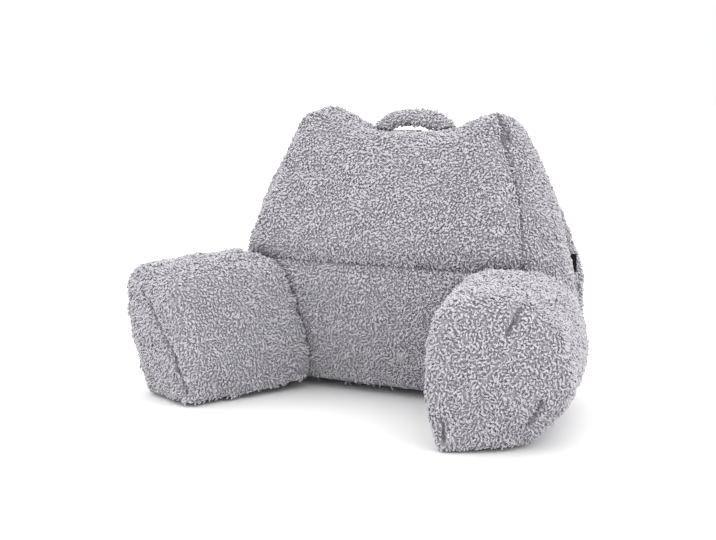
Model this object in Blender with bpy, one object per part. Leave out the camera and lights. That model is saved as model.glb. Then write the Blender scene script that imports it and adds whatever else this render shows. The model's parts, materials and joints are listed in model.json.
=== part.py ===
"""Reading cushion in teddy fleece: a wedge backrest with two splayed arms, a carry handle and a side tab.

Metres, +Z up. The cushion stands on z = 0, faces -Y, and is centred on the origin in X and Y.
Each filled piece is a block of panels. A volume map puffs every panel out between its seams,
so the block's edges are the seams, drawn in a little, and its faces are the crowned panels.
"""

import math

import bmesh
import bpy
from mathutils import Vector

SEAT_GAP = 0.0008       # how far a piece stays off the one it is sewn to
SEAM_PULL = 0.0045      # how far the stitching draws a panel seam in
LUMBAR_PULL = 0.007     # the same on the cross seam of the front
LUMBAR_FADE = 0.8       # power by which that pull fades towards the seam's ends

# Backrest, from the floor up: where its front and rear seams run, and how far its panels crown.
# ear is the share of the corners' full lift that a row gets.
BACK_COLUMNS = ("z", "front", "rear", "front_half", "rear_half",
                "front_crown", "rear_crown", "side_crown", "ear")
BACK_ROWS = (
    (0.000, -0.018, 0.078, 0.185, 0.172, 0.003, 0.003, 0.002, 0.00),
    (0.008, -0.038, 0.093, 0.206, 0.194, 0.012, 0.016, 0.013, 0.00),
    (0.030, -0.053, 0.101, 0.218, 0.224, 0.024, 0.038, 0.028, 0.00),
    (0.110, -0.077, 0.092, 0.231, 0.245, 0.029, 0.059, 0.036, 0.00),
    (0.190, -0.095, 0.082, 0.238, 0.240, 0.027, 0.066, 0.034, 0.00),
    (0.215, -0.092, 0.080, 0.237, 0.234, 0.022, 0.065, 0.033, 0.00),
    (0.240, -0.093, 0.077, 0.233, 0.227, 0.033, 0.062, 0.032, 0.02),
    (0.310, -0.066, 0.070, 0.219, 0.210, 0.038, 0.050, 0.030, 0.15),
    (0.372, -0.046, 0.062, 0.193, 0.187, 0.030, 0.031, 0.019, 0.45),
    (0.403, -0.038, 0.052, 0.179, 0.171, 0.015, 0.016, 0.010, 0.85),
    (0.413, -0.029, 0.041, 0.171, 0.161, 0.003, 0.003, 0.002, 1.00),
)
BACK_LUMBAR_ROW = 5     # the row of the cross seam on the front
BACK_SEAM_ROWS = (0.5, 2.5, 7.5, 9.7)   # the side seams' pull comes in over two rows and goes out over two
BACK_STEPS = 3          # levels between two rows
BACK_ACROSS = 20
BACK_DEEP = 8
BACK_OVERHANG = 2.2     # how far a crowned panel swells past its seams, in crowns
BACK_FIRMNESS = 0.65    # power of its panels' crown
LEFT_EAR = (0.030, 0.042)   # how far the top's corners rise, at the front and at the rear
RIGHT_EAR = (0.037, 0.024)
EAR_START = 0.28        # share of the half width where the top edge starts to rise

# Arms, from the root against the backrest's side to the front end. inner and outer are where the
# arm's long seams run, out from the middle of the cushion, and the two y columns are their ends.
ARM_COLUMNS = ("inner", "outer", "inner_y", "outer_y", "top", "lift")
LEFT_ARM_ROWS = (
    (0.136, 0.232, 0.075, 0.078, 0.125, 0.018),
    (0.128, 0.266, 0.005, 0.030, 0.160, 0.012),
    (0.140, 0.302, -0.084, -0.044, 0.187, 0.012),
    (0.182, 0.332, -0.188, -0.138, 0.194, 0.000),
    (0.228, 0.348, -0.292, -0.236, 0.194, 0.000),
)
RIGHT_ARM_ROWS = (
    (0.136, 0.228, 0.075, 0.078, 0.125, 0.018),
    (0.132, 0.260, 0.005, 0.030, 0.160, 0.010),
    (0.142, 0.290, -0.080, -0.040, 0.186, 0.010),
    (0.175, 0.320, -0.208, -0.142, 0.188, 0.000),
    (0.214, 0.346, -0.346, -0.262, 0.184, 0.000),
)
# lean is how far the end's top stands out from its foot, sideways and forwards.
# side_crowns is how far the inner and outer sides swell past their seams, in half heights.
# shoulder is how much higher the inner long seam of the top lies than the outer one.
# foot is how much of its half width the base is drawn in, inner and outer side, and over what share of
# the height.
LEFT_ARM = {"rows": LEFT_ARM_ROWS, "lean": (0.006, -0.030), "side_crowns": (0.20, 0.17), "shoulder": 0.003,
            "end_crown": 0.014, "foot": (0.05, 0.03, 0.20)}
RIGHT_ARM = {"rows": RIGHT_ARM_ROWS, "lean": (0.006, -0.014), "side_crowns": (0.20, 0.29), "shoulder": 0.012,
             "end_crown": 0.022, "foot": (0.03, 0.66, 0.45)}
ARM_TOP_CROWN = 0.38    # in half widths
ARM_TOP_FIRMNESS = 0.8  # power of the top's crown
SHOULDER_FROM = 0.4     # share of the length where the shoulder has its full height
ARM_END_INSET = 0.004
ARM_END_FROM = 0.65     # share of the length where the end's own shape comes in
ARM_ALONG = 16
ARM_WIDE = 10
ARM_HIGH = 12

# Carry handle on the top seam
HANDLE_SPAN = 0.124
HANDLE_RISE = 0.024
HANDLE_BACK = 0.014     # how far behind the middle of the top seam it is sewn
HANDLE_WIDE = 0.036
HANDLE_THICK = 0.025
HANDLE_SINK = 0.014     # how deep its ends reach into the seam
HANDLE_FLATNESS = 0.8   # under 1 its arch is flatter in the middle
HANDLE_LEG_TURN = 0.6   # how far the strap turns on edge where it comes down
HANDLE_TILT = math.radians(20)
HANDLE_STEPS = 20
HANDLE_SIDES = 14

# Side tab in the right rear seam
TAB_HIGH = 0.028
TAB_PROUD = 0.018
TAB_SUNK = 0.008
TAB_THICK = 0.0014
TAB_Z = 0.211
TAB_TURN = math.radians(3)

ON_FACE = 0.999         # a block's coordinate past this lies on its face

FLEECE = (0.36, 0.35, 0.38)
TAB_BLACK = (0.015, 0.015, 0.017)


def value_at(rows, column, at):
    """A smooth curve through one column of a table, at row number `at`, which may be fractional."""
    last = len(rows) - 1
    i = min(int(at), last - 1)
    t = at - i
    before, here, after, beyond = (rows[min(max(k, 0), last)][column] for k in (i - 1, i, i + 1, i + 2))
    out = (after - before) / 2
    into = (beyond - here) / 2
    return ((2 * t**3 - 3 * t**2 + 1) * here + (t**3 - 2 * t**2 + t) * out
            + (3 * t**2 - 2 * t**3) * after + (t**3 - t**2) * into)


def rows_at(rows, columns, at):
    return {name: value_at(rows, k, at) for k, name in enumerate(columns)}


def mix(a, b, share):
    return a + (b - a) * share


def ease(low, high, at):
    t = min(max((at - low) / (high - low), 0.0), 1.0)
    return t * t * (3 - 2 * t)


def crown(at, power=1.0):
    """How full a stuffed panel is: 0 at its seams (-1 and 1), 1 in the middle. A power under 1 is firmer."""
    return max(1.0 - at * at, 0.0) ** power


def spread(at):
    """Moves evenly spaced points on -1 to 1 towards the ends, where a panel curves most."""
    return math.sin(math.pi / 2 * at)


def panel_block(cuts):
    """A block from -1 to 1 whose faces are grids, with that many cells along X, Y and Z."""
    bm = bmesh.new()
    bmesh.ops.create_cube(bm, size=2.0)
    for axis, cells in enumerate(cuts):
        across = [e for e in bm.edges if abs(e.verts[0].co[axis] - e.verts[1].co[axis]) > 1.0]
        bmesh.ops.subdivide_edges(bm, edges=across, cuts=cells - 1, use_grid_fill=True)
    return bm


def add_object(name, bm, material, collection):
    bm.normal_update()
    bmesh.ops.recalc_face_normals(bm, faces=bm.faces)
    mesh = bpy.data.meshes.new(name)
    bm.to_mesh(mesh)
    bm.free()
    mesh.shade_smooth()
    mesh.materials.append(material)
    obj = bpy.data.objects.new(name, mesh)
    collection.objects.link(obj)
    return obj


def add_material(name, colour, roughness):
    material = bpy.data.materials.new(name)
    material.use_nodes = True
    shader = material.node_tree.nodes["Principled BSDF"]
    shader.inputs["Base Color"].default_value = (*colour, 1.0)
    shader.inputs["Roughness"].default_value = roughness
    shader.inputs["Metallic"].default_value = 0.0
    return material


def add_collection(name):
    collection = bpy.data.collections.new(name)
    bpy.context.scene.collection.children.link(collection)
    return collection


def back_point(u, v, level):
    """Where a point of the backrest's block lies. u runs left to right, v front to rear."""
    row = rows_at(BACK_ROWS, BACK_COLUMNS, level)
    rearward = (v + 1) / 2
    full = crown(u, BACK_FIRMNESS)
    half = mix(row["front_half"], row["rear_half"], rearward) + row["side_crown"] * crown(v, BACK_FIRMNESS)
    swell = BACK_OVERHANG * mix(row["front_crown"], row["rear_crown"], rearward) * full
    y = mix(row["front"] - row["front_crown"] * full, row["rear"] + row["rear_crown"] * full, rearward)
    corner = mix(*(LEFT_EAR if u < 0 else RIGHT_EAR), rearward)
    z = row["z"] + corner * row["ear"] * ease(EAR_START, 1.0, abs(u))
    return Vector((u * (half + swell), y, z))


def make_back(material, collection):
    levels = (len(BACK_ROWS) - 1) * BACK_STEPS
    bm = panel_block((BACK_ACROSS, BACK_DEEP, levels))
    for vert in bm.verts:
        u, v = spread(vert.co.x), spread(vert.co.y)
        level = round((vert.co.z + 1) / 2 * levels) / BACK_STEPS
        place = back_point(u, v, level)
        if v < -ON_FACE and level == BACK_LUMBAR_ROW:
            place.y += LUMBAR_PULL * crown(u, LUMBAR_FADE)
        if abs(u) > ON_FACE and abs(v) > ON_FACE:
            pull = SEAM_PULL * ease(*BACK_SEAM_ROWS[:2], level) * (1 - ease(*BACK_SEAM_ROWS[2:], level))
            place.x -= pull * u
            place.y -= pull * v
        vert.co = place
    return add_object("back_cushion", bm, material, collection)


def arm_point(arm, along, across, up):
    """Where a point of an arm's block lies, with x out from the middle of the cushion.

    along is 0 at the root, across is -1 on the inner side, and up is 0 at the floor.
    """
    row = rows_at(arm["rows"], ARM_COLUMNS, along * (len(arm["rows"]) - 1))
    outward = (across + 1) / 2
    half = (row["outer"] - row["inner"]) / 2
    full = crown(2 * up - 1)
    leant = along**2 * ease(0.0, 1.0, up)
    side_crown = full * mix(*arm["side_crowns"], outward) * row["top"] / 2
    inner_inset, outer_inset, foot_height = arm["foot"]
    drawn_in = 1 - ease(-0.1, foot_height, up)
    inset = drawn_in * half * (outer_inset if across > 0 else inner_inset)
    end_crown = arm["end_crown"] * crown(across) * full - drawn_in * ARM_END_INSET
    x = mix(row["inner"], row["outer"], outward) + across * (side_crown - inset) + arm["lean"][0] * leant
    y = mix(row["inner_y"], row["outer_y"], outward) + arm["lean"][1] * leant
    y -= end_crown * ease(ARM_END_FROM, 1.0, along)
    shoulder = arm["shoulder"] * (1 - outward) * ease(0.0, SHOULDER_FROM, along)
    top = row["top"] + shoulder + ARM_TOP_CROWN * half * crown(across, ARM_TOP_FIRMNESS)
    z = mix(max(row["lift"], 0.0), top, up)
    return Vector((x, y, z))


def make_arm(name, side, arm, material, collection, cutter):
    bm = panel_block((ARM_WIDE, ARM_ALONG, ARM_HIGH))
    for vert in bm.verts:
        across = spread(vert.co.x)
        along = (1 - vert.co.y) / 2
        up = (1 + spread(vert.co.z)) / 2
        place = arm_point(arm, along, across, up)
        if along > ON_FACE and (abs(across) > ON_FACE or up > ON_FACE):
            place.y += SEAM_PULL
        vert.co = (side * place.x, place.y, place.z)
    obj = add_object(name, bm, material, collection)
    cut_by(obj, cutter)
    return obj


def make_handle(material, collection, cutter):
    """A padded strap that arches from one point of the top seam to another."""
    bm = bmesh.new()
    bmesh.ops.create_cone(bm, cap_ends=True, segments=HANDLE_SIDES, radius1=1.0, radius2=1.0, depth=2.0)
    lengthwise = [e for e in bm.edges if abs(e.verts[0].co.z - e.verts[1].co.z) > 1.0]
    bmesh.ops.subdivide_edges(bm, edges=lengthwise, cuts=HANDLE_STEPS - 1)
    crest = BACK_ROWS[-1][0]
    middle = (BACK_ROWS[-1][1] + BACK_ROWS[-1][2]) / 2 + HANDLE_BACK
    for vert in bm.verts:
        swing = math.pi * (vert.co.z + 1) / 2
        centre = Vector((-HANDLE_SPAN / 2 * math.cos(swing), middle, 0.0))
        centre.z = crest - HANDLE_SINK + (HANDLE_RISE + HANDLE_SINK) * math.sin(swing) ** HANDLE_FLATNESS
        outward = Vector((-math.cos(swing) * HANDLE_LEG_TURN, 0.0, math.sin(swing))).normalized()
        sideways = Vector((0.0, math.cos(HANDLE_TILT), math.sin(HANDLE_TILT) * math.sin(swing)))
        vert.co = centre + outward * vert.co.x * HANDLE_THICK / 2 + sideways * vert.co.y * HANDLE_WIDE / 2
    handle = add_object("carry_handle", bm, material, collection)
    cut_by(handle, cutter)
    return handle


def make_tab(material, collection, cutter):
    """A folded tab that stands out of the right rear seam."""
    above = next(i for i, row in enumerate(BACK_ROWS) if row[0] > TAB_Z)
    below_z, above_z = BACK_ROWS[above - 1][0], BACK_ROWS[above][0]
    seam = back_point(1.0, 1.0, above - 1 + (TAB_Z - below_z) / (above_z - below_z))
    outward = Vector((math.cos(TAB_TURN), math.sin(TAB_TURN), 0.0))
    across = Vector((-outward.y, outward.x, 0.0))
    bm = panel_block((6, 1, 4))
    for vert in bm.verts:
        reach = mix(-TAB_SUNK, TAB_PROUD, (vert.co.x + 1) / 2)
        place = seam + outward * reach + across * vert.co.y * TAB_THICK / 2
        vert.co = (place.x, place.y, TAB_Z + vert.co.z * TAB_HIGH / 2)
    tab = add_object("side_tab", bm, material, collection)
    cut_by(tab, cutter)
    return tab


def cut_by(obj, cutter):
    cut = obj.modifiers.new("seat", "BOOLEAN")
    cut.operation = "DIFFERENCE"
    cut.solver = "EXACT"
    cut.object = cutter


def make_seat_cutter(body, collection):
    """The backrest again, a little fatter, so that what is cut by it seats with a small gap."""
    bm = bmesh.new()
    bm.from_mesh(body.data)
    moves = [vert.normal * SEAT_GAP for vert in bm.verts]
    for vert, move in zip(bm.verts, moves):
        vert.co += move
    mesh = bpy.data.meshes.new("back_seat_cutter")
    bm.to_mesh(mesh)
    bm.free()
    cutter = bpy.data.objects.new("back_seat_cutter", mesh)
    cutter.hide_render = True
    cutter.display_type = "WIRE"
    collection.objects.link(cutter)
    return cutter


def centre_on_origin(pieces, cutter):
    """Moves the whole cushion so that its box is centred on the origin in X and Y."""
    graph = bpy.context.evaluated_depsgraph_get()
    corners = [corner for obj in pieces for corner in obj.evaluated_get(graph).bound_box]
    for axis in (0, 1):
        along = [corner[axis] for corner in corners]
        middle = (min(along) + max(along)) / 2
        for obj in pieces + [cutter]:
            obj.location[axis] = -middle


def main():
    for obj in list(bpy.data.objects):
        bpy.data.objects.remove(obj)
    fleece = add_material("fleece", FLEECE, 0.95)
    black = add_material("tab_black", TAB_BLACK, 0.7)
    parts = add_collection("reading_cushion")
    cutters = add_collection("cutters")
    back = make_back(fleece, parts)
    cutter = make_seat_cutter(back, cutters)
    pieces = [
        back,
        make_arm("left_arm", -1, LEFT_ARM, fleece, parts, cutter),
        make_arm("right_arm", 1, RIGHT_ARM, fleece, parts, cutter),
        make_handle(fleece, parts, cutter),
        make_tab(black, parts, cutter),
    ]
    centre_on_origin(pieces, cutter)


main()
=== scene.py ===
"""The reading cushion, dressed: stuffed covers under curly teddy fleece, a padded handle and a black tab.

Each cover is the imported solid, remeshed, drawn in, blown up with cloth and fitted back to lie just under
the solid's surface. The pile is thousands of small curls that stand on the covers and reach out to it.
"""
import json
import math

import bmesh
import bpy
import numpy as np
from mathutils import Matrix, Vector, noise
from mathutils.bvhtree import BVHTree
from mathutils.kdtree import KDTree

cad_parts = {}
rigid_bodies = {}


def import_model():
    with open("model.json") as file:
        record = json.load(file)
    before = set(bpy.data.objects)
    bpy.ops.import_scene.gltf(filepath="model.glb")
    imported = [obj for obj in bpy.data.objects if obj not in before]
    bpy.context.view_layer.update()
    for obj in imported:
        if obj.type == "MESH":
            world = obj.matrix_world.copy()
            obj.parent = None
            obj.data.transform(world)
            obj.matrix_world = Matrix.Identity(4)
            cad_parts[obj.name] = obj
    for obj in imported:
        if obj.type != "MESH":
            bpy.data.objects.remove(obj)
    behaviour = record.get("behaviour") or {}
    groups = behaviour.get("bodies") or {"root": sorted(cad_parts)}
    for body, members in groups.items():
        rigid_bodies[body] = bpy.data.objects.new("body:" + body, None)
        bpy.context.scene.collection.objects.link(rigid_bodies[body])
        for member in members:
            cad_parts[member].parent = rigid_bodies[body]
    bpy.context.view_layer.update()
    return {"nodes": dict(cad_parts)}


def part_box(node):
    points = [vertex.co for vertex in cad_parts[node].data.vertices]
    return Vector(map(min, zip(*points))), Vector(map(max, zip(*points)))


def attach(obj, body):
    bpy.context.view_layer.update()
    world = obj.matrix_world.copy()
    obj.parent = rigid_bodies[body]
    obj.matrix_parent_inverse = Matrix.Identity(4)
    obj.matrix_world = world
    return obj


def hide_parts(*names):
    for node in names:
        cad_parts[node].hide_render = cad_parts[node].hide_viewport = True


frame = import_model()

# Covers
PILE_HEIGHT = 0.0055      # how far a cover is drawn in to make room for the pile
COVER_SUNK = 0.0035       # how far inside the solid's surface the finished cover lies, on the whole
FIT_ROUNDS = 3
FIT_SPREAD = 17           # passes that even out each round's move, so that rounded edges stay round
SWELL_ROOM = 0.0040       # how much smaller a cover starts, for the filling to push out
SWELL_CAP = 0.0055        # how far the filling may push any point
BACK_ROUNDING = 8         # passes that soften the solid's edges
ARM_ROUNDING = 21
HANDLE_ROUNDING = 1
INSET_STEPS = 4
INSET_EASE = 0.25
COVER_VOXEL = 0.009
HANDLE_VOXEL = 0.004
LUMPS = ((0.0022, 11.0), (0.0012, 27.0), (0.0013, 75.0))   # how high, and how many to the metre
WELD = 0.00001
FLOOR_REST = 0.0012       # how far the cover stays above the floor, on squashed pile
CLOTH_FRAMES = 20
CLOTH_PRESSURE = 4.0

# Seams
SEAM_ANGLE = math.radians(30)
SEAM_STEP = 0.003
RIM_HEIGHT = 0.405        # the backrest's rim is a seam above this
SEAM_DEPTH = 0.0040       # how far the cover is drawn in along a seam
SEAM_REACH = 0.007
SEAM_SHORT = 0.65         # how much of its length a curl keeps at a seam
# Painted shade: the near-black that curls and ground are mixed towards along seams and partings, for the shade
# in the crease
PAINTED_SEAM_SHADE = (0.09, 0.087, 0.097)
# No curl roots nearer to a seam than the first distance, and they are shorter and darker out to the second.
# The third is how much of its brightness a curl keeps there: painted shade standing in for the seam's crease.
SEWN = (0.0003, 0.0035, 0.38)
PARTED = (0.0014, 0.0050, 0.12)
GROUND_SEAM_SHADE = (0.0008, 0.0040, 0.12)   # the same for the ground under the curls, as painted seam shade
# The end seams of the left arm, then two partings and a short seam on the right one
ARM_SEAMS = {
    "left_arm": (
        ((-0.2905, -0.1979, 0.1570), (-0.2722, -0.1985, 0.1202), (-0.2526, -0.1958, 0.0877),
         (-0.2432, -0.1894, 0.0519), (-0.2332, -0.1862, 0.0213)),
        ((-0.350, -0.168, 0.165), (-0.362, -0.150, 0.110), (-0.355, -0.140, 0.050), (-0.348, -0.134, 0.020)),
    ),
    "right_arm": (
        ((0.3129, -0.1933, 0.2057), (0.3085, -0.2058, 0.1886), (0.3016, -0.2154, 0.1684)),
        ((0.3398, -0.1839, 0.0727), (0.3297, -0.1825, 0.0576), (0.3194, -0.1772, 0.0389)),
        ((0.2159, -0.2389, 0.0455), (0.2184, -0.2343, 0.0174)),
    ),
}

# Pile
CURL_SPACING = 0.0030     # the least distance between two roots
CURL_DENSITY = 160000.0   # tried for each square metre, before the spacing thins them out
CURL_STEPS = 3
CURL_SIDES = 3
CURL_THICK = 0.0038
CURL_SHAPES = (
    # length, first tilt, last tilt, turn in plan, all in metres and degrees
    (0.0083, 0, 110, 95),
    (0.0083, 0, 110, -95),
    (0.0094, 7, 105, 155),
    (0.0094, 7, 105, -155),
    (0.0079, 0, 120, 25),
    (0.0079, 10, 92, -65),
)
CURL_ROOT = 0.0007        # how deep a curl starts in the cover
CURL_TAPER = 0.92
CURL_SIZES = (0.85, 1.15)
CURL_STRAY = 1.3          # radians that a curl turns from its neighbours
CURL_TIP = 0.25           # and that it nods
HANDLE_PILE = 0.95        # how much of their length the handle's curls keep
PILE_FALL = (0.0, -0.3, -1.0)
SWIRL_SCALE = 28.0
SWIRL_TURN = 9.0
TUFT_SCALE = 75.0
TUFT_REACH = 0.35         # how much longer or shorter the curls of a tuft are
HIDDEN_WITHIN = 0.010     # a neighbour this close in front of a cover hides it
HIDDEN_SPREAD = 10        # passes that keep curls along the rim of what is hidden
HIDDEN_SHARE = 0.96       # the share of hidden cover around a place above which nothing grows there
# Painted shade: how much darker the ground is where a neighbouring cushion hides it, in the crevice between
# them
HIDDEN_SHADE = 0.6
FLOOR_CLEAR = 0.0003
UNDER_SLOPE = -0.75       # faces that look down like this, near the floor, are the underside
UNDER_HEIGHT = 0.03
UNDER_DENSITY = 0.02
LUMBAR_HEIGHT = 0.215     # of the cross seam

# Tab
TAPE_THICK = 0.0006
FOLD_STEPS = 6
TAB_CLEAR = 0.006         # no curls this near the tab
TAB_OUT = 0.002           # how far the tape reaches out past the solid one, through the pile

# Studio
FLOOR_SIZE = 20.0
SKY_HEIGHTS = (0.2, 1.0)
SKY_STRENGTHS = (1.0, 1.85)     # from the horizon to overhead
SIDE_STRENGTHS = (0.45, 0.95)   # from the left and from the right
SIDE_AZIMUTHS = (-75.0, 75.0)
SIDE_TILT = math.radians(50)
SIDE_WIDTH = math.radians(60)

# Camera, fitted to the photograph
CAMERA_AZIMUTH = math.radians(28.6)
CAMERA_PITCH = math.radians(7.99)
CAMERA_PLACE = (0.9839, -1.8754, 0.503)
CAMERA_LENS = 69.9
CAMERA_SENSOR = 36.0


class Value:
    """A shader socket that takes part in Python arithmetic."""

    def __init__(self, tree, socket):
        self.tree = tree
        self.socket = socket

    def maths(self, operation, a, b):
        return self.tree.node("ShaderNodeMath", {"operation": operation}, {0: a, 1: b})

    def __add__(self, other):
        return self.maths("ADD", self, other)

    __radd__ = __add__

    def __mul__(self, other):
        return self.maths("MULTIPLY", self, other)

    __rmul__ = __mul__

    def __sub__(self, other):
        return self.maths("SUBTRACT", self, other)

    def __rsub__(self, other):
        return self.maths("SUBTRACT", other, self)


class Shader:
    """A material's node tree, built by one call a node."""

    def __init__(self, name, **constants):
        self.material = bpy.data.materials.new(name)
        self.material.use_nodes = True
        self.tree = self.material.node_tree
        self.principled = self.tree.nodes["Principled BSDF"]
        for socket, value in constants.items():
            self.principled.inputs[socket.replace("_", " ")].default_value = value

    def node(self, kind, settings=None, sockets=None, output=0):
        made = self.tree.nodes.new(kind)
        for name, value in (settings or {}).items():
            if name == "stops":
                self.set_stops(made.color_ramp, value)
            else:
                setattr(made, name, value)
        for name, value in (sockets or {}).items():
            self.feed(made.inputs[name], value)
        return Value(self, made.outputs[output])

    def set_stops(self, ramp, stops):
        while len(ramp.elements) < len(stops):
            ramp.elements.new(0.5)
        for element, (place, colour) in zip(ramp.elements, stops):
            element.position = place
            element.color = (*colour, 1.0)

    def feed(self, socket, value):
        if isinstance(value, Value):
            self.tree.links.new(value.socket, socket)
        elif isinstance(value, tuple) and len(value) == 3 and socket.type == "RGBA":
            socket.default_value = (*value, 1.0)
        else:
            socket.default_value = value

    def place(self):
        return self.node("ShaderNodeTexCoord", output="Object")

    def noise(self, scale, detail=2.0, distortion=0.0):
        sockets = {"Vector": self.place(), "Scale": scale, "Detail": detail, "Distortion": distortion}
        return self.node("ShaderNodeTexNoise", sockets=sockets, output="Fac")

    def attribute(self, name):
        return self.node("ShaderNodeAttribute", {"attribute_name": name}, output="Fac")

    def mix_colour(self, share, a, b):
        return self.node("ShaderNodeMix", {"data_type": "RGBA"}, {0: share, 6: a, 7: b}, output=2)

    def bump(self, height, distance, strength):
        sockets = {"Height": height, "Distance": distance, "Strength": strength}
        return self.node("ShaderNodeBump", sockets=sockets)


def curl_material():
    """Teddy yarn: dark at the root, paler at the tip, part the yarn's own tone and part painted shade between
    the curls; each curl a little different.
    """
    shader = Shader("teddy_curls", Roughness=0.85, Sheen_Weight=0.35, Sheen_Roughness=0.4,
                    Specular_IOR_Level=0.2)
    along = shader.attribute("along")
    tone = shader.attribute("tone")
    patches = shader.noise(14.0, 2.0)
    tufts = shader.noise(85.0, 1.0)
    strands = shader.noise(420.0, 1.0)
    # Darker towards the root: partly the yarn's own tone, partly painted shade in the crevices between curls
    shade = along * 0.60 + tone * 0.12 + patches * 0.16 + tufts * 0.30 + strands * 0.24 - 0.12
    colour = shader.node("ShaderNodeValToRGB", {"stops": (
        (0.15, (0.46, 0.447, 0.483)),
        (0.45, (0.53, 0.515, 0.554)),
        (0.75, (0.56, 0.545, 0.584)),
        (1.00, (0.59, 0.574, 0.614)),
    )}, {"Fac": shade})
    # Painted shade: curls near a seam or parting are darkened towards the seam shade
    colour = shader.mix_colour(shader.attribute("shade"), PAINTED_SEAM_SHADE, colour)
    shader.feed(shader.principled.inputs["Base Color"], colour)
    shader.feed(shader.principled.inputs["Normal"], shader.bump(strands, 0.0008, 0.5))
    return shader.material


def cover_material():
    """The knitted ground between the curls, with the short under-fleece."""
    shader = Shader("teddy_ground", Roughness=0.95, Sheen_Weight=0.2, Specular_IOR_Level=0.1)
    clumps = shader.noise(330.0, 2.0, 1.6)
    colour = shader.node("ShaderNodeValToRGB", {"stops": (
        (0.36, (0.36, 0.350, 0.380)),
        (0.56, (0.51, 0.496, 0.534)),
    )}, {"Fac": clumps})
    # Painted shade: the ground darkens along seams and where a neighbouring cushion hides it
    colour = shader.mix_colour(shader.attribute("shade"), PAINTED_SEAM_SHADE, colour)
    shader.feed(shader.principled.inputs["Base Color"], colour)
    shader.feed(shader.principled.inputs["Normal"], shader.bump(clumps, 0.004, 1.0))
    return shader.material


def tab_material():
    """Black woven tape."""
    shader = Shader("black_tape", Roughness=0.75, Specular_IOR_Level=0.2)
    weave = shader.node("ShaderNodeTexWave", {"bands_direction": "Z"},
                        {"Vector": shader.place(), "Scale": 900.0})
    colour = shader.mix_colour(weave, (0.005, 0.005, 0.006), (0.014, 0.014, 0.016))
    shader.feed(shader.principled.inputs["Base Color"], colour)
    shader.feed(shader.principled.inputs["Normal"], shader.bump(weave, 0.0002, 0.6))
    return shader.material


def floor_material():
    shader = Shader("pale_floor", Roughness=0.7, Specular_IOR_Level=0.2)
    grain = shader.noise(3.0)
    colour = shader.mix_colour(grain, (0.86, 0.86, 0.86), (0.88, 0.88, 0.88))
    shader.feed(shader.principled.inputs["Base Color"], colour)
    return shader.material


def new_object(name, mesh, material=None):
    obj = bpy.data.objects.new(name, mesh)
    bpy.context.scene.collection.objects.link(obj)
    if material:
        mesh.materials.clear()
        mesh.materials.append(material)
    return obj


def mesh_from(bm, name):
    mesh = bpy.data.meshes.new(name)
    bm.to_mesh(mesh)
    bm.free()
    mesh.shade_smooth()
    return mesh


def node_bmesh(node):
    bm = bmesh.new()
    bm.from_mesh(frame["nodes"][node].data)
    bmesh.ops.remove_doubles(bm, verts=bm.verts, dist=WELD)
    return bm


def apply_modifiers(obj):
    """Gives the object the mesh that its modifiers make, and removes them."""
    graph = bpy.context.evaluated_depsgraph_get()
    mesh = bpy.data.meshes.new_from_object(obj.evaluated_get(graph))
    obj.modifiers.clear()
    obj.data = mesh


def points_of(mesh):
    places = np.empty(len(mesh.vertices) * 3)
    mesh.vertices.foreach_get("co", places)
    return places.reshape(-1, 3)


def normals_of(mesh):
    normals = np.empty(len(mesh.vertices) * 3)
    mesh.vertices.foreach_get("normal", normals)
    return normals.reshape(-1, 3)


def set_points(mesh, places):
    mesh.vertices.foreach_set("co", places.ravel())
    mesh.update()


def is_back_seam(edge):
    """The backrest's seams are its creases and, on top, the sharp rim."""
    angle = edge.calc_face_angle_signed(0.0)
    low = min(vert.co.z for vert in edge.verts)
    return angle < -SEAM_ANGLE or (abs(angle) > SEAM_ANGLE and low > RIM_HEIGHT)


def seam_object(name, bm):
    """A net of short edges that marks seams."""
    for edge in list(bm.edges):
        cuts = int(edge.calc_length() / SEAM_STEP)
        if cuts:
            bmesh.ops.subdivide_edges(bm, edges=[edge], cuts=cuts)
    return new_object(f"{name}_seams", mesh_from(bm, f"{name}_seams"))


def back_seams(name):
    bm = node_bmesh("back_cushion")
    plain = [edge for edge in bm.edges if not is_back_seam(edge)]
    bmesh.ops.delete(bm, geom=plain, context="EDGES")
    bmesh.ops.delete(bm, geom=[vert for vert in bm.verts if not vert.link_edges], context="VERTS")
    return seam_object(name, bm)


def arm_seams(node):
    bm = bmesh.new()
    for line in ARM_SEAMS[node]:
        verts = [bm.verts.new(place) for place in line]
        for pair in zip(verts, verts[1:]):
            bm.edges.new(pair)
    return seam_object(node, bm)


def tree_of_points(mesh):
    tree = KDTree(len(mesh.vertices))
    for i, vert in enumerate(mesh.vertices):
        tree.insert(vert.co, i)
    tree.balance()
    return tree


def lay_on(lines, cover):
    """Moves the seam lines from the solid's surface onto the finished cover."""
    tree = tree_of(cover)
    for vert in lines.data.vertices:
        vert.co = tree.find_nearest(vert.co)[0]


def smooth_once(bm, factor):
    axes = {"use_axis_x": True, "use_axis_y": True, "use_axis_z": True}
    bmesh.ops.smooth_vert(bm, verts=bm.verts, factor=factor, **axes)


def draw_in(mesh, depth):
    """Moves the surface in by depth, smoothing a little on the way so that no fold is left."""
    bm = bmesh.new()
    bm.from_mesh(mesh)
    for _ in range(INSET_STEPS):
        bm.normal_update()
        for vert in bm.verts:
            vert.co -= vert.normal * depth / INSET_STEPS
        smooth_once(bm, INSET_EASE)
    bm.to_mesh(mesh)
    bm.free()


def soften(mesh, passes):
    bm = bmesh.new()
    bm.from_mesh(mesh)
    for _ in range(passes):
        smooth_once(bm, 0.5)
    bm.to_mesh(mesh)
    bm.free()


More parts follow.
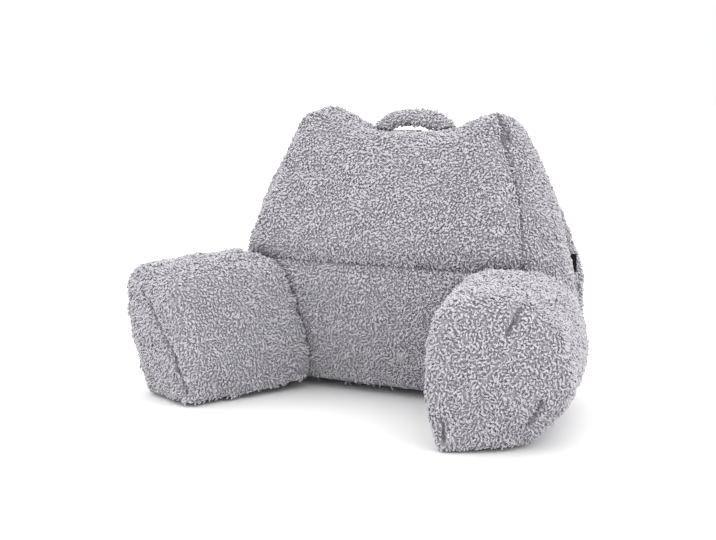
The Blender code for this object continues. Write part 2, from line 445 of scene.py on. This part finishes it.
def stuff(obj):
    """Lets the filling push the cover out, by no more than the cap."""
    before = points_of(obj.data)
    cloth = obj.modifiers.new("filling", "CLOTH")
    cloth.settings.use_pressure = True
    cloth.settings.uniform_pressure_force = CLOTH_PRESSURE
    cloth.settings.effector_weights.gravity = 0.0
    scene = bpy.context.scene
    for number in range(1, CLOTH_FRAMES + 1):
        scene.frame_set(number)
    apply_modifiers(obj)
    scene.frame_set(1)
    moved = points_of(obj.data) - before
    length = np.linalg.norm(moved, axis=1, keepdims=True)
    moved *= np.minimum(1.0, SWELL_CAP / np.maximum(length, WELD))
    set_points(obj.data, before + moved)


def evened_out(mesh, values, passes):
    """The values averaged with their neighbours' again and again, over the mesh's edges."""
    ends = np.empty(len(mesh.edges) * 2, dtype=int)
    mesh.edges.foreach_get("vertices", ends)
    start, end = ends.reshape(-1, 2).T
    size = len(values)
    shares = np.maximum(np.bincount(ends, minlength=size), 1)
    for _ in range(passes):
        around = np.bincount(start, values[end], size) + np.bincount(end, values[start], size)
        values = (values + around / shares) / 2
    return values


def fit_to(obj, node):
    """Brings the cover back out to the solid's size, and keeps its rounded edges."""
    bm = node_bmesh(node)
    tree = BVHTree.FromBMesh(bm)
    bm.free()
    for _ in range(FIT_ROUNDS):
        places = points_of(obj.data)
        depths = np.empty(len(places))
        for i, place in enumerate(places):
            nearest, outward = tree.find_nearest(Vector(place))[:2]
            depths[i] = outward.dot(nearest - Vector(place)) - COVER_SUNK
        moves = evened_out(obj.data, depths, FIT_SPREAD)
        set_points(obj.data, places + normals_of(obj.data) * moves[:, None])


def uneven(place):
    """How lumpily the filling lies."""
    return sum(height * noise.noise(place * scale) for height, scale in LUMPS)


def shape_cover(obj, seams):
    """Sews the seams in, and makes the filling uneven."""
    mesh = obj.data
    places = points_of(mesh)
    normals = normals_of(mesh)
    for i, (place, normal) in enumerate(zip(places, normals)):
        at = Vector(place)
        distance = seams.find(at)[2]
        sunk = SEAM_DEPTH * math.exp(-(distance / SEAM_REACH) ** 2)
        places[i] = place + normal * (uneven(at) - sunk)
    places[:, 2] = np.maximum(places[:, 2], FLOOR_REST)
    set_points(mesh, places)


def shade_seams(cover, seams):
    """Stores on the cover how much of its brightness it keeps: painted shade along the seams."""
    near, far, dark = GROUND_SEAM_SHADE
    shade = np.ones(len(cover.data.vertices))
    for i, vert in enumerate(cover.data.vertices):
        share = (seams.find(vert.co)[2] - near) / (far - near)
        shade[i] = dark + (1.0 - dark) * min(max(share, 0.0), 1.0)
    cover.data.attributes.new("shade", "FLOAT", "POINT").data.foreach_set("value", shade)


def make_cover(name, node, lines, voxel, rounding, material, stuffed=True):
    obj = new_object(name, mesh_from(node_bmesh(node), name), material)
    remesh = obj.modifiers.new("remesh", "REMESH")
    remesh.mode = "VOXEL"
    remesh.voxel_size = voxel
    apply_modifiers(obj)
    soften(obj.data, rounding)
    draw_in(obj.data, PILE_HEIGHT + (SWELL_ROOM if stuffed else 0.0))
    if stuffed:
        stuff(obj)
    fit_to(obj, node)
    smooth = obj.modifiers.new("smooth", "SUBSURF")
    smooth.levels = 1
    smooth.render_levels = 1
    apply_modifiers(obj)
    shape_cover(obj, tree_of_points(lines.data))
    lay_on(lines, obj)
    shade_seams(obj, tree_of_points(lines.data))
    obj.data.shade_smooth()
    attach(obj, "root")
    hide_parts(node)
    return obj


def make_curl(name, length, first_tilt, last_tilt, turn, material):
    """One lock of yarn: a taper that rises, leans over along +X and curls back down."""
    bm = bmesh.new()
    along = bm.verts.layers.float.new("along")
    ring = bmesh.ops.create_circle(bm, segments=CURL_SIDES, radius=CURL_THICK / 2, cap_ends=True)["verts"]
    stance = Matrix.Translation((0.0, 0.0, -CURL_ROOT))
    bmesh.ops.transform(bm, matrix=stance, verts=ring)
    thick = 1.0
    for step in range(1, CURL_STEPS + 1):
        share = step / CURL_STEPS
        tilt = math.radians(first_tilt + (last_tilt - first_tilt) * (share - 0.5 / CURL_STEPS))
        heading = math.radians(turn * (share - 0.5))
        flat = math.sin(tilt)
        forward = Vector((math.cos(heading) * flat, math.sin(heading) * flat, math.cos(tilt)))
        facing = Vector((0.0, 0.0, 1.0)).rotation_difference(forward).to_matrix().to_4x4()
        next_stance = Matrix.Translation(stance.translation + forward * length / CURL_STEPS) @ facing
        next_thick = math.sqrt(1.0 - (share * CURL_TAPER) ** 2)
        rims = [edge for edge in bm.edges if all(vert in ring for vert in edge.verts)]
        made = bmesh.ops.extrude_edge_only(bm, edges=rims)["geom"]
        ring = [item for item in made if isinstance(item, bmesh.types.BMVert)]
        change = next_stance @ Matrix.Scale(next_thick / thick, 4) @ stance.inverted()
        bmesh.ops.transform(bm, matrix=change, verts=ring)
        for vert in ring:
            vert[along] = share
        stance = next_stance
        thick = next_thick
    bmesh.ops.pointmerge(bm, verts=ring, merge_co=stance.translation)
    bmesh.ops.recalc_face_normals(bm, faces=bm.faces)
    mesh = mesh_from(bm, name)
    mesh.materials.append(material)
    return bpy.data.objects.new(name, mesh)


class Field:
    """A geometry-node tree, built by one call a node."""

    def __init__(self, name):
        self.group = bpy.data.node_groups.new(name, "GeometryNodeTree")
        for way in ("INPUT", "OUTPUT"):
            self.group.interface.new_socket("Geometry", in_out=way, socket_type="NodeSocketGeometry")

    def node(self, kind, settings=None, sockets=None):
        made = self.group.nodes.new(kind)
        for name, value in (settings or {}).items():
            setattr(made, name, value)
        for name, value in (sockets or {}).items():
            if isinstance(value, bpy.types.NodeSocket):
                self.group.links.new(value, made.inputs[name])
            else:
                made.inputs[name].default_value = value
        return made.outputs

    def stored(self, name, data_type="FLOAT"):
        return self.node("GeometryNodeInputNamedAttribute", {"data_type": data_type}, {"Name": name})[0]

    def random(self, low, high, seed):
        return self.node("FunctionNodeRandomValue", {"data_type": "FLOAT"}, {2: low, 3: high, "Seed": seed})[1]

    def maths(self, operation, a, b):
        return self.node("ShaderNodeMath", {"operation": operation}, {0: a, 1: b})[0]

    def turned(self, rotation, axis, angle):
        turn = self.node("FunctionNodeAxisAngleToRotation", {}, {"Axis": axis, "Angle": angle})[0]
        return self.node("FunctionNodeRotateRotation", {"rotation_space": "LOCAL"},
                         {"Rotation": rotation, "Rotate By": turn})[0]


def pile_nodes(name, curls, lines, seam, panel, seed):
    """Curls on one panel of a cover. They lie downhill, turned aside by swirls a few centimetres wide."""
    field = Field(name)
    cover = field.node("NodeGroupInput")[0]
    chosen = field.node("FunctionNodeCompare", {"data_type": "INT", "operation": "EQUAL"},
                        {2: field.stored("panel", "INT"), 3: panel})[0]
    spread = field.node("GeometryNodeDistributePointsOnFaces", {"distribute_method": "POISSON"}, {
        "Mesh": cover, "Selection": chosen, "Distance Min": CURL_SPACING, "Density Max": CURL_DENSITY,
        "Density Factor": field.stored("density"), "Seed": seed})
    points, normal, standing = spread[0], spread[1], spread[2]
    downhill = field.node("FunctionNodeAlignRotationToVector", {"axis": "X", "pivot_axis": "Z"},
                          {"Rotation": standing, "Vector": PILE_FALL})[0]
    place = field.node("GeometryNodeInputPosition")[0]
    swirl = field.node("ShaderNodeTexNoise", {}, {"Vector": place, "Scale": SWIRL_SCALE, "Detail": 1.0})[0]
    bend = field.maths("MULTIPLY", field.maths("SUBTRACT", swirl, 0.5), SWIRL_TURN)
    heading = field.maths("ADD", bend, field.random(-CURL_STRAY, CURL_STRAY, seed + 1))
    rotation = field.turned(downhill, (0.0, 0.0, 1.0), heading)
    rotation = field.turned(rotation, (0.0, 1.0, 0.0), field.random(-CURL_TIP, CURL_TIP, seed + 2))
    seams = field.node("GeometryNodeObjectInfo", {}, {"Object": lines})["Geometry"]
    distance = field.node("GeometryNodeProximity", {"target_element": "EDGES"}, {0: seams})["Distance"]
    bare, shaded, dark = seam
    kept = field.node("ShaderNodeMapRange", {}, {0: distance, 1: bare, 2: shaded, 3: SEAM_SHORT, 4: 1.0})[0]
    # Painted shade: how much of its brightness a curl keeps near a seam
    shade = field.node("ShaderNodeMapRange", {}, {0: distance, 1: bare, 2: shaded, 3: dark, 4: 1.0})[0]
    size = field.maths("MULTIPLY", field.stored("reach"), field.random(*CURL_SIZES, seed + 3))
    size = field.maths("MULTIPLY", size, kept)
    rooted = field.node("FunctionNodeCompare", {"operation": "GREATER_THAN"}, {0: distance, 1: bare})[0]
    shapes = field.node("GeometryNodeCollectionInfo", {}, {
        "Collection": curls, "Separate Children": True, "Reset Children": True})[0]
    index = field.node("FunctionNodeRandomValue", {"data_type": "INT"},
                       {4: 0, 5: len(CURL_SHAPES) - 1, "Seed": seed + 4})[2]
    grown = field.node("GeometryNodeInstanceOnPoints", {}, {
        "Points": points, "Selection": rooted, "Instance": shapes, "Pick Instance": True,
        "Instance Index": index, "Rotation": rotation, "Scale": size})[0]
    for label, value in (("tone", field.random(0.0, 1.0, seed + 5)), ("shade", shade)):
        grown = field.node("GeometryNodeStoreNamedAttribute", {"data_type": "FLOAT", "domain": "INSTANCE"},
                           {"Geometry": grown, "Name": label, "Value": value})[0]
    real = field.node("GeometryNodeRealizeInstances", {}, {"Geometry": grown})[0]
    field.node("NodeGroupOutput", {}, {0: real})
    return field.group


def grow_pile(name, cover, curls, lines, seam, panel, seed):
    """The curls of one panel as a piece of its own."""
    obj = new_object(name, cover.data.copy())
    grow = obj.modifiers.new("grow", "NODES")
    grow.node_group = pile_nodes(name, curls, lines, seam, panel, seed)
    apply_modifiers(obj)
    places = points_of(obj.data)
    places[:, 2] = np.maximum(places[:, 2], FLOOR_CLEAR)
    set_points(obj.data, places)
    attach(obj, "root")


def tree_of(obj):
    bm = bmesh.new()
    bm.from_mesh(obj.data)
    tree = BVHTree.FromBMesh(bm)
    bm.free()
    return tree


def beside_tab(place):
    low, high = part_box("side_tab")
    beyond = [max(low[k] - place[k], place[k] - high[k]) for k in range(3)]
    return max(beyond) < TAB_CLEAR


def mark_pile(cover, neighbours, panel_of, length=1.0):
    """Stores on the cover where curls grow, how long they are and which panel each face is in, and darkens its
    painted shade where a neighbour hides it.
    """
    mesh = cover.data
    density = np.ones(len(mesh.vertices))
    reach = np.ones(len(mesh.vertices))
    hidden = np.zeros(len(mesh.vertices))
    for i, vert in enumerate(mesh.vertices):
        reach[i] = length * (1.0 + TUFT_REACH * noise.noise(vert.co * TUFT_SCALE))
        if vert.normal.z < UNDER_SLOPE and vert.co.z < UNDER_HEIGHT:
            density[i] = UNDER_DENSITY
        if beside_tab(vert.co):
            density[i] = 0.0
        if any(tree.ray_cast(vert.co, vert.normal, HIDDEN_WITHIN)[0] for tree in neighbours):
            hidden[i] = 1.0
    hidden = evened_out(mesh, hidden, HIDDEN_SPREAD)
    density[hidden > HIDDEN_SHARE] = 0.0
    # Painted shade in the crevices: the ground darkens where a neighbour hides it
    shade = np.empty(len(mesh.vertices))
    mesh.attributes["shade"].data.foreach_get("value", shade)
    mesh.attributes["shade"].data.foreach_set("value", shade * (1.0 - HIDDEN_SHADE * hidden))
    panels = [panel_of(face.center, face.normal) for face in mesh.polygons]
    mesh.attributes.new("density", "FLOAT", "POINT").data.foreach_set("value", density)
    mesh.attributes.new("reach", "FLOAT", "POINT").data.foreach_set("value", reach)
    mesh.attributes.new("panel", "INT", "FACE").data.foreach_set("value", panels)


BACK_PANELS = ("upper_front", "lumbar", "upper_rear", "lower_rear", "left_gusset", "right_gusset")


def back_panel(place, normal):
    if abs(normal.y) > 0.5:
        front = normal.y < 0
        upper = place.z > LUMBAR_HEIGHT
        return (0 if upper else 1) if front else (2 if upper else 3)
    return 4 if place.x < 0 else 5


def one_panel(place, normal):
    return 0


def make_tab(material):
    """A strip of tape folded once, with its fold outwards."""
    low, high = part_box("side_tab")
    high = high + Vector((TAB_OUT, 0.0, 0.0))
    gap = (high.y - low.y) / 2 - TAPE_THICK / 2
    bm = bmesh.new()
    route = [(low.x, low.y + TAPE_THICK / 2)]
    middle = (low.y + high.y) / 2
    for i in range(FOLD_STEPS + 1):
        angle = -math.pi / 2 + math.pi * i / FOLD_STEPS
        route.append((high.x - gap - TAPE_THICK / 2 + gap * math.cos(angle), middle + gap * math.sin(angle)))
    route.append((low.x, high.y - TAPE_THICK / 2))
    verts = [bm.verts.new((x, y, low.z)) for x, y in route]
    edges = [bm.edges.new(pair) for pair in zip(verts, verts[1:])]
    made = bmesh.ops.extrude_edge_only(bm, edges=edges)["geom"]
    top = [item for item in made if isinstance(item, bmesh.types.BMVert)]
    bmesh.ops.translate(bm, verts=top, vec=(0.0, 0.0, high.z - low.z))
    bmesh.ops.recalc_face_normals(bm, faces=bm.faces)
    tab = new_object("folded_tab", mesh_from(bm, "folded_tab"), material)
    thick = tab.modifiers.new("tape", "SOLIDIFY")
    thick.thickness = TAPE_THICK
    thick.offset = 0.0
    soft = tab.modifiers.new("edges", "BEVEL")
    soft.width = TAPE_THICK / 4
    soft.segments = 2
    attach(tab, "root")
    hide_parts("side_tab")


def make_floor(material):
    bm = bmesh.new()
    bmesh.ops.create_grid(bm, x_segments=1, y_segments=1, size=FLOOR_SIZE)
    floor = new_object("floor", mesh_from(bm, "floor"), material)


def add_camera():
    camera = bpy.data.cameras.new("camera")
    camera.lens = CAMERA_LENS
    camera.sensor_width = CAMERA_SENSOR
    obj = bpy.data.objects.new("camera", camera)
    obj.location = CAMERA_PLACE
    obj.rotation_euler = (math.pi / 2 - CAMERA_PITCH, 0.0, CAMERA_AZIMUTH)
    bpy.context.scene.collection.objects.link(obj)
    bpy.context.scene.camera = obj


def light_room():
    scene = bpy.context.scene
    scene.view_settings.view_transform = "Standard"
    world = bpy.data.worlds.new("studio")
    world.use_nodes = True
    nodes = world.node_tree.nodes
    links = world.node_tree.links
    height = nodes.new("ShaderNodeSeparateXYZ")
    links.new(nodes.new("ShaderNodeTexCoord").outputs["Generated"], height.inputs[0])
    strength = nodes.new("ShaderNodeMapRange")
    links.new(height.outputs["Z"], strength.inputs["Value"])
    for socket, value in zip(("From Min", "From Max", "To Min", "To Max"), SKY_HEIGHTS + SKY_STRENGTHS):
        strength.inputs[socket].default_value = value
    background = nodes["Background"]
    background.inputs["Color"].default_value = (1.0, 1.0, 1.0, 1.0)
    links.new(strength.outputs[0], background.inputs["Strength"])
    scene.world = world
    for name, azimuth, strength in zip(("left_side", "right_side"), SIDE_AZIMUTHS, SIDE_STRENGTHS):
        sun = bpy.data.lights.new(name, "SUN")
        sun.energy = strength
        sun.angle = SIDE_WIDTH
        obj = bpy.data.objects.new(name, sun)
        obj.rotation_euler = (SIDE_TILT, 0.0, math.radians(azimuth))
        scene.collection.objects.link(obj)


def main():
    add_camera()
    light_room()
    make_floor(floor_material())
    ground = cover_material()
    yarn = curl_material()
    curls = bpy.data.collections.new("curls")
    for i, shape in enumerate(CURL_SHAPES):
        curls.objects.link(make_curl(f"curl_{i}", *shape, yarn))

    back_lines = back_seams("back")
    left_lines = arm_seams("left_arm")
    right_lines = arm_seams("right_arm")
    handle_lines = back_seams("handle")
    back = make_cover("backrest", "back_cushion", back_lines, COVER_VOXEL, BACK_ROUNDING, ground)
    left = make_cover("left_armrest", "left_arm", left_lines, COVER_VOXEL, ARM_ROUNDING, ground)
    right = make_cover("right_armrest", "right_arm", right_lines, COVER_VOXEL, ARM_ROUNDING, ground)
    handle = make_cover("padded_handle", "carry_handle", handle_lines, HANDLE_VOXEL, HANDLE_ROUNDING, ground,
                        stuffed=False)

    back_tree, left_tree, right_tree = map(tree_of, (back, left, right))
    mark_pile(back, (left_tree, right_tree), back_panel)
    mark_pile(left, (back_tree,), one_panel)
    mark_pile(right, (back_tree,), one_panel)
    mark_pile(handle, (back_tree,), one_panel, HANDLE_PILE)
    for i, panel in enumerate(BACK_PANELS):
        grow_pile(f"{panel}_pile", back, curls, back_lines, SEWN, i, 10 * i)
    grow_pile("left_arm_pile", left, curls, left_lines, PARTED, 0, 70)
    grow_pile("right_arm_pile", right, curls, right_lines, PARTED, 0, 80)
    grow_pile("handle_pile", handle, curls, handle_lines, SEWN, 0, 90)
    for lines in (back_lines, left_lines, right_lines, handle_lines):
        bpy.data.objects.remove(lines)
    make_tab(tab_material())
    for curl in list(curls.objects):
        bpy.data.objects.remove(curl)
    bpy.data.collections.remove(curls)


main()
